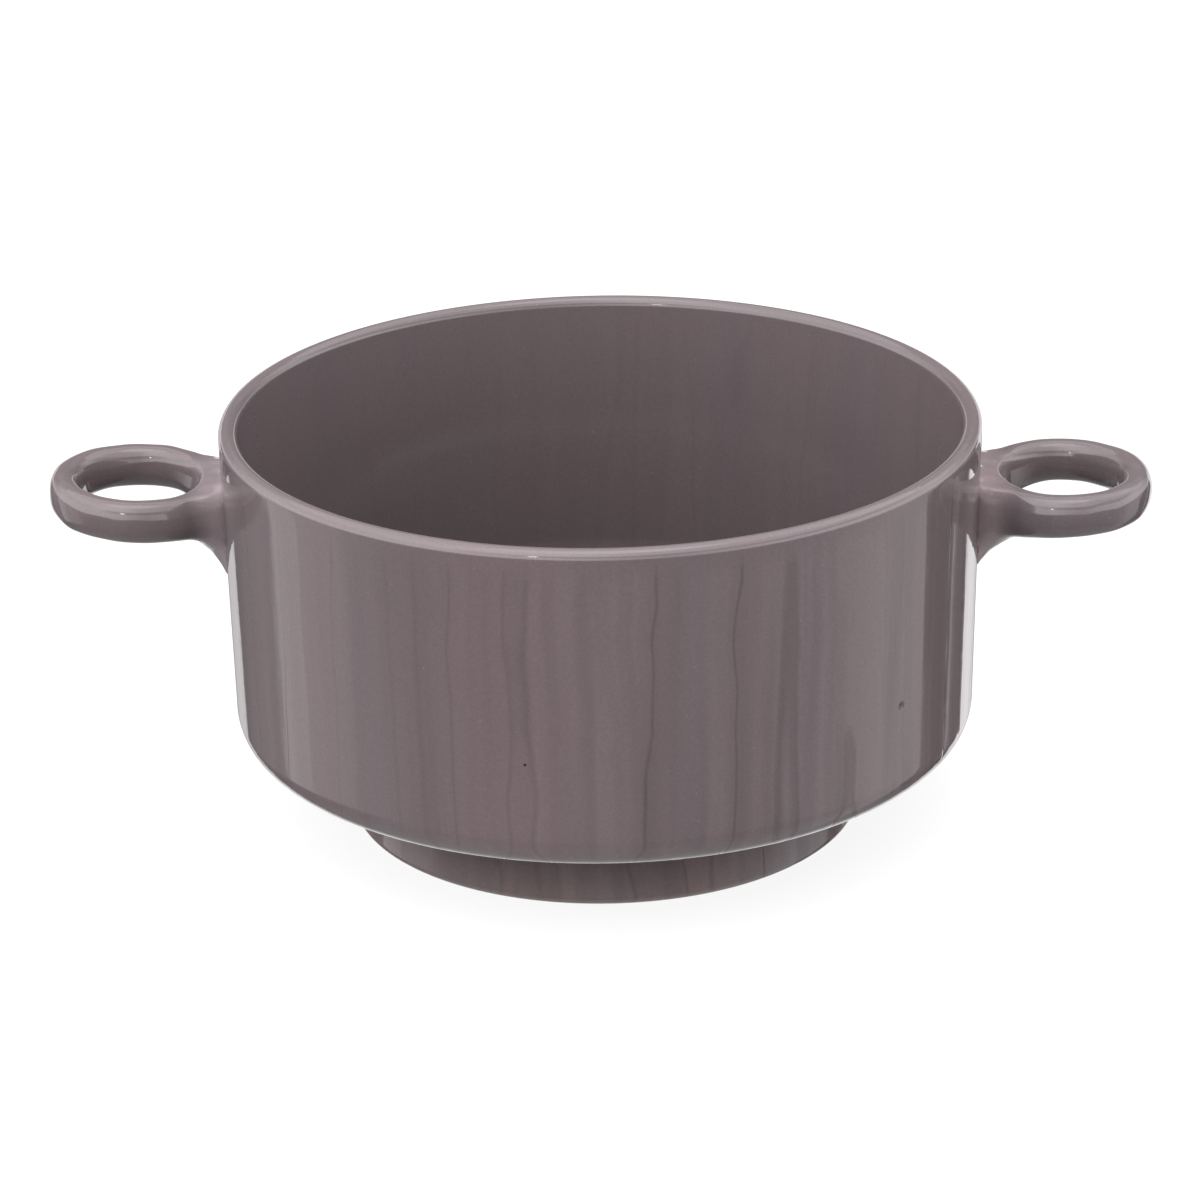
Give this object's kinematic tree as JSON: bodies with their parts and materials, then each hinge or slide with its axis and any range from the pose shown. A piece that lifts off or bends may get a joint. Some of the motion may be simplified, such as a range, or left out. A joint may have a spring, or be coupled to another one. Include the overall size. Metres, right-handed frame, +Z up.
{
  "type": "soup crock",
  "caption": "Round glazed stoneware soup crock with straight walls, a foot ring and oval loop handles on both sides, for baking and serving onion soup.",
  "frame": {"origin": "middle of the foot, on the table", "axes": "+Z up, +X through the right-hand loop handle, -Y towards the viewer of the picture"},
  "size_m": [0.1834, 0.126, 0.0696],
  "materials": {
    "grey_glaze": "gloss"
  },
  "bodies": {
    "root": {"bowl_body": "grey_glaze", "foot_ring": "grey_glaze", "left_handle": "grey_glaze", "right_handle": "grey_glaze"}
  },
  "joints": []
}
